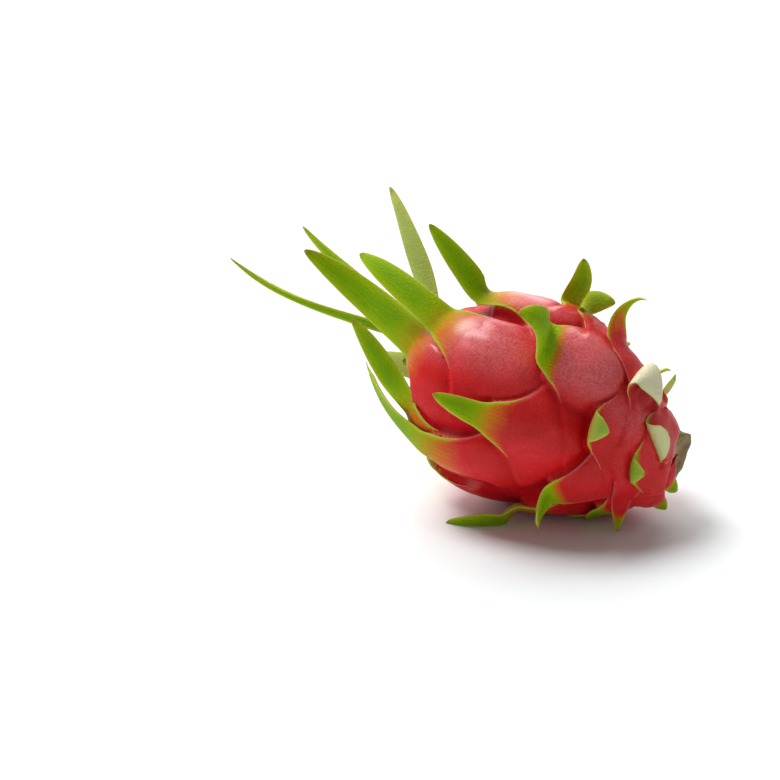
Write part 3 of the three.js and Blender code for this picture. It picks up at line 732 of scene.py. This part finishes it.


# ---------------------------------------------------------------- materials

# Deep red of the painted shade in the folds.
SHADE_CRIMSON = (0.42, 0.001, 0.008)
RED = (0.58, 0.004, 0.003)
ROSE = (0.72, 0.010, 0.015)
# Pale pink of the painted highlight.
PAINTED_HIGHLIGHT_PINK = (0.90, 0.26, 0.28)
ORANGE = (0.66, 0.15, 0.010)
OLIVE = (0.44, 0.34, 0.006)
LEAF = (0.34, 0.50, 0.001)
DEEP_LEAF = (0.18, 0.37, 0.001)
LIME = (0.48, 0.56, 0.003)
PALE_LEAF = (0.56, 0.60, 0.19)
CREAM = (0.84, 0.80, 0.56)
STRAW = (0.62, 0.60, 0.12)
PINK_EDGE = (0.78, 0.22, 0.20)
DRY_TIP = (0.12, 0.08, 0.01)
FRECKLE = (0.86, 0.42, 0.36)
BARK = (0.13, 0.065, 0.025)
STALK_GREEN, STALK_OLIVE = (0.10, 0.17, 0.006), (0.26, 0.28, 0.02)
CUT_BROWN, CUT_DARK, CUT_PALE = (0.26, 0.15, 0.035), (0.12, 0.07, 0.02), (0.36, 0.26, 0.07)
HUSK_DARK, HUSK, HUSK_PALE, HUSK_CUT = (
    (0.10, 0.055, 0.03), (0.24, 0.15, 0.08), (0.30, 0.20, 0.11), (0.06, 0.035, 0.02))
FLOOR_WHITE = (0.872, 0.912, 0.915, 1.0)


def waxy_skin():
    """Pink-red skin with a painted grainy highlight, pale pink on the crests of the top side, and
    painted shade, deeper red in the folds, that turns through orange and olive to green on the scales'
    tongues, whose middles are deeper green, with pale inner faces, straw-coloured margins, fine veins
    and a thin pebbled wax."""
    material, tree, shader, place = new_material("waxy skin")
    grain = place_grain(tree, place, 1150.0, 45.0, 260.0)
    ripe, rim, core, wax_and_highlight, inner, tip, valley = (
        attribute(tree, name) for name in ("ripe", "rim", "core", "wax_and_highlight", "inner", "tip", "valley"))
    streak_place = new_node(tree, "ShaderNodeCombineXYZ", {
        0: reckon(tree, "MULTIPLY", attribute(tree, "across"), 1.6),
        1: reckon(tree, "MULTIPLY", attribute(tree, "along"), 0.06)}).outputs[0]
    streak = new_node(tree, "ShaderNodeTexNoise", {
        "Vector": streak_place, "Scale": 1.0, "Detail": 3.0}).outputs[0]
    sway = reckon(tree, "MULTIPLY", reckon(tree, "SUBTRACT", grain["Patches"], 0.5), 0.34)
    drift = reckon(tree, "MULTIPLY", reckon(tree, "SUBTRACT", streak, 0.5), 0.05)
    turned = reckon(tree, "ADD", reckon(tree, "ADD", ripe, sway), drift, clamp=True)
    skin = mix_colour(tree, remap(tree, grain["Patches"], 0.35, 0.68), RED, ROSE)
    pebbled = remap(tree, grain["Pebbles"], 0.36, 0.64, 0.28, 0.62)
    # Painted highlight: pale pink mixed in on the crests of the top side, broken by the pebble grain.
    skin = mix_colour(tree, reckon(tree, "MULTIPLY", wax_and_highlight, pebbled), skin, PAINTED_HIGHLIGHT_PINK)
    # Painted shade: deeper red mixed into the folds.
    skin = mix_colour(tree, reckon(tree, "MULTIPLY", valley, 0.6), skin, SHADE_CRIMSON)
    turning = colour_steps(tree, turned, [
        (0.30, ORANGE), (0.46, ORANGE), (0.64, OLIVE), (0.84, LEAF), (1.0, LEAF)])
    deep = reckon(tree, "MULTIPLY", core, remap(tree, turned, 0.62, 1.0, 0.0, 0.9))
    turning = mix_colour(tree, deep, turning, DEEP_LEAF)
    turning = mix_colour(tree, remap(tree, streak, 0.45, 0.75, 0.0, 0.35), turning, LIME)
    colour = mix_colour(tree, remap(tree, turned, 0.16, 0.50), skin, turning)
    paling = reckon(tree, "MULTIPLY", inner, remap(tree, turned, 0.2, 0.6, 0.35, 0.85))
    colour = mix_colour(tree, paling, colour, PALE_LEAF)
    colour = mix_colour(tree, remap(tree, inner, 0.9, 1.4, 0.0, 0.85), colour, CREAM)
    edge_tint = mix_colour(tree, remap(tree, turned, 0.25, 0.5), PINK_EDGE, STRAW)
    edge = reckon(tree, "MULTIPLY", reckon(tree, "SUBTRACT", 1.0, rim), 0.6)
    colour = mix_colour(tree, edge, colour, edge_tint)
    sparse = remap(tree, grain["Patches"], 0.45, 0.7, 0.0, 0.08)
    colour = mix_colour(tree, reckon(tree, "MULTIPLY", grain["Spots"], sparse), colour, FRECKLE)
    colour = mix_colour(tree, reckon(tree, "MULTIPLY", tip, 0.5), colour, DRY_TIP)
    tree.links.new(colour, shader.inputs["Base Color"])
    waxy = remap(tree, wax_and_highlight, 0.0, 0.8, 0.20, 0.85)
    waxy = reckon(tree, "MULTIPLY", remap(tree, turned, 0.3, 0.6, 1.0, 0.0), waxy)
    waxy = reckon(tree, "MULTIPLY", waxy, remap(tree, valley, 0.0, 0.8, 1.0, 0.1))
    tree.links.new(waxy, shader.inputs["Coat Weight"])
    rough = remap(tree, grain["Pebbles"], 0.3, 0.7, 0.42, 0.58)
    tree.links.new(rough, shader.inputs["Roughness"])
    height = reckon(tree, "ADD", reckon(tree, "MULTIPLY", grain["Pebbles"], 1.6),
                    reckon(tree, "MULTIPLY", grain["Patches"], 1.6))
    ribs = reckon(tree, "MULTIPLY", streak, remap(tree, turned, 0.2, 0.5, 0.0, 0.9))
    height = reckon(tree, "ADD", height, ribs)
    bump = new_node(tree, "ShaderNodeBump", {"Height": height, "Strength": 0.8, "Distance": 0.0004})
    tree.links.new(bump.outputs[0], shader.inputs["Normal"])
    shader.inputs["Subsurface Weight"].default_value = 0.10
    shader.inputs["Subsurface Radius"].default_value = (1.0, 0.25, 0.15)
    shader.inputs["Subsurface Scale"].default_value = 0.003
    shader.inputs["Specular IOR Level"].default_value = 0.06
    shader.inputs["Coat Roughness"].default_value = 0.30
    return material


def cut_stalk():
    """Dull green stalk with brown corky ribs and a dry brown cut end."""
    material, tree, shader, place = new_material("cut stalk")
    grain = place_grain(tree, place, 900.0, 160.0, 500.0)
    cut, rib, centre = (attribute(tree, name) for name in ("cut", "rib", "centre"))
    wall = mix_colour(tree, remap(tree, grain["Patches"], 0.35, 0.65), STALK_GREEN, STALK_OLIVE)
    wall = mix_colour(tree, remap(tree, rib, 0.7, 1.0, 0.0, 0.7), wall, BARK)
    end = mix_colour(tree, remap(tree, grain["Patches"], 0.3, 0.7), CUT_BROWN, CUT_DARK)
    end = mix_colour(tree, remap(tree, centre, 0.35, 0.6, 0.0, 0.6), end, CUT_PALE)
    colour = mix_colour(tree, cut, wall, end)
    tree.links.new(colour, shader.inputs["Base Color"])
    tree.links.new(remap(tree, grain["Pebbles"], 0.3, 0.7, 0.55, 0.8), shader.inputs["Roughness"])
    height = reckon(tree, "ADD", grain["Pebbles"], reckon(tree, "MULTIPLY", grain["Patches"], 2.0))
    bump = new_node(tree, "ShaderNodeBump", {"Height": height, "Strength": 0.8, "Distance": 0.0005})
    tree.links.new(bump.outputs[0], shader.inputs["Normal"])
    return material


def dry_flower():
    """Dry brown flower remains, paler on the ribs and darker on the frayed end."""
    material, tree, shader, place = new_material("dry flower")
    grain = place_grain(tree, place, 1200.0, 220.0, 600.0)
    cut, rib = attribute(tree, "cut"), attribute(tree, "rib")
    colour = mix_colour(tree, remap(tree, grain["Patches"], 0.35, 0.65), HUSK_DARK, HUSK)
    colour = mix_colour(tree, reckon(tree, "MULTIPLY", rib, 0.5), colour, HUSK_PALE)
    colour = mix_colour(tree, reckon(tree, "MULTIPLY", cut, 0.6), colour, HUSK_CUT)
    tree.links.new(colour, shader.inputs["Base Color"])
    shader.inputs["Roughness"].default_value = 0.85
    height = reckon(tree, "ADD", grain["Pebbles"], reckon(tree, "MULTIPLY", grain["Patches"], 2.0))
    bump = new_node(tree, "ShaderNodeBump", {"Height": height, "Strength": 0.9, "Distance": 0.0006})
    tree.links.new(bump.outputs[0], shader.inputs["Normal"])
    return material


def pale_floor():
    """Plain matt floor, near white."""
    material, _, shader, _ = new_material("pale floor")
    shader.inputs["Base Color"].default_value = FLOOR_WHITE
    shader.inputs["Roughness"].default_value = 0.9
    return material


# ---------------------------------------------------------------- the fruit

skin_material = waxy_skin()
skin = make_skin(skin_material)
tongues = make_tongues(skin_material)
stub = make_plug("stalk_stub", STALK, cut_stalk(), rows=14, sides=96, dish=1.0, fray=0.25)
scar = make_plug("flower_remains", SCAR, dry_flower(), rows=14, sides=108, dish=2.2, fray=0.6)

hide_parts("fruit")
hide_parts("fruit")
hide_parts("stem_stub")
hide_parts("flower_scar")
for piece, slot in ((skin, "skin"), (tongues, "skin"), (stub, "stalk"), (scar, "scar")):
    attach(piece, "root")

# ---------------------------------------------------------------- floor, light and camera

FLOOR_REACH = 3.0

floor_mesh = bpy.data.meshes.new("floor")
corners = [(-FLOOR_REACH, -FLOOR_REACH, 0), (FLOOR_REACH, -FLOOR_REACH, 0),
           (FLOOR_REACH, FLOOR_REACH, 0), (-FLOOR_REACH, FLOOR_REACH, 0)]
floor_mesh.from_pydata(corners, [], [(0, 1, 2, 3)])
floor_mesh.materials.append(pale_floor())
floor = bpy.data.objects.new("floor", floor_mesh)
bpy.context.scene.collection.objects.link(floor)


def add_sun(name, towards, spread, strength):
    """A distant lamp that shines from the direction towards, spread degrees wide."""
    lamp = bpy.data.lights.new(name, "SUN")
    lamp.angle = math.radians(spread)
    lamp.energy = strength
    holder = bpy.data.objects.new(name, lamp)
    holder.rotation_euler = Vector(towards).to_track_quat("Z", "Y").to_euler()
    bpy.context.scene.collection.objects.link(holder)


add_sun("key light", towards=(-0.38, 1.0, 0.72), spread=66.0, strength=2.6)
add_sun("softbox middle", towards=(-0.54, 0.16, 1.0), spread=28.0, strength=2.5)

world = bpy.data.worlds.new("studio")
bpy.context.scene.world = world
world.use_nodes = True
sky = world.node_tree
sky.nodes["Background"].inputs["Color"].default_value = (1.0, 1.0, 1.0, 1.0)
sky_place = new_node(sky, "ShaderNodeTexCoord").outputs["Generated"]
way_up = new_node(sky, "ShaderNodeSeparateXYZ", {0: sky_place}).outputs["Z"]
sky_strength = remap(sky, way_up, 0.0, 0.8, 0.28, 0.21)
sky.links.new(sky_strength, sky.nodes["Background"].inputs["Strength"])

AZIMUTH = math.radians(14.0)
ELEVATION = math.radians(20.0)
DISTANCE = 900.0
PIXELS_PER_MM = 2.5
FRUIT_PIXEL = (549.0, 408.0)
IMAGE_SIZE = 780.0
SENSOR_WIDTH = 36.0

level = math.cos(ELEVATION)
back = Vector((math.sin(AZIMUTH) * level, -math.cos(AZIMUTH) * level, math.sin(ELEVATION)))
right = Vector((math.cos(AZIMUTH), math.sin(AZIMUTH), 0.0))
up = back.cross(right)
beside, below = ((pixel - IMAGE_SIZE / 2) / PIXELS_PER_MM for pixel in FRUIT_PIXEL)
aim = Vector((0.0, 0.0, CENTRE_HEIGHT)) - right * beside + up * below
camera_data = bpy.data.cameras.new("camera")
camera_data.sensor_width = SENSOR_WIDTH
camera_data.lens = SENSOR_WIDTH * PIXELS_PER_MM * DISTANCE / IMAGE_SIZE
camera = bpy.data.objects.new("camera", camera_data)
camera.location = (aim + back * DISTANCE) / 1000.0
camera.rotation_euler = back.to_track_quat("Z", "Y").to_euler()
bpy.context.scene.collection.objects.link(camera)
bpy.context.scene.camera = camera
bpy.context.scene.view_settings.view_transform = "Standard"
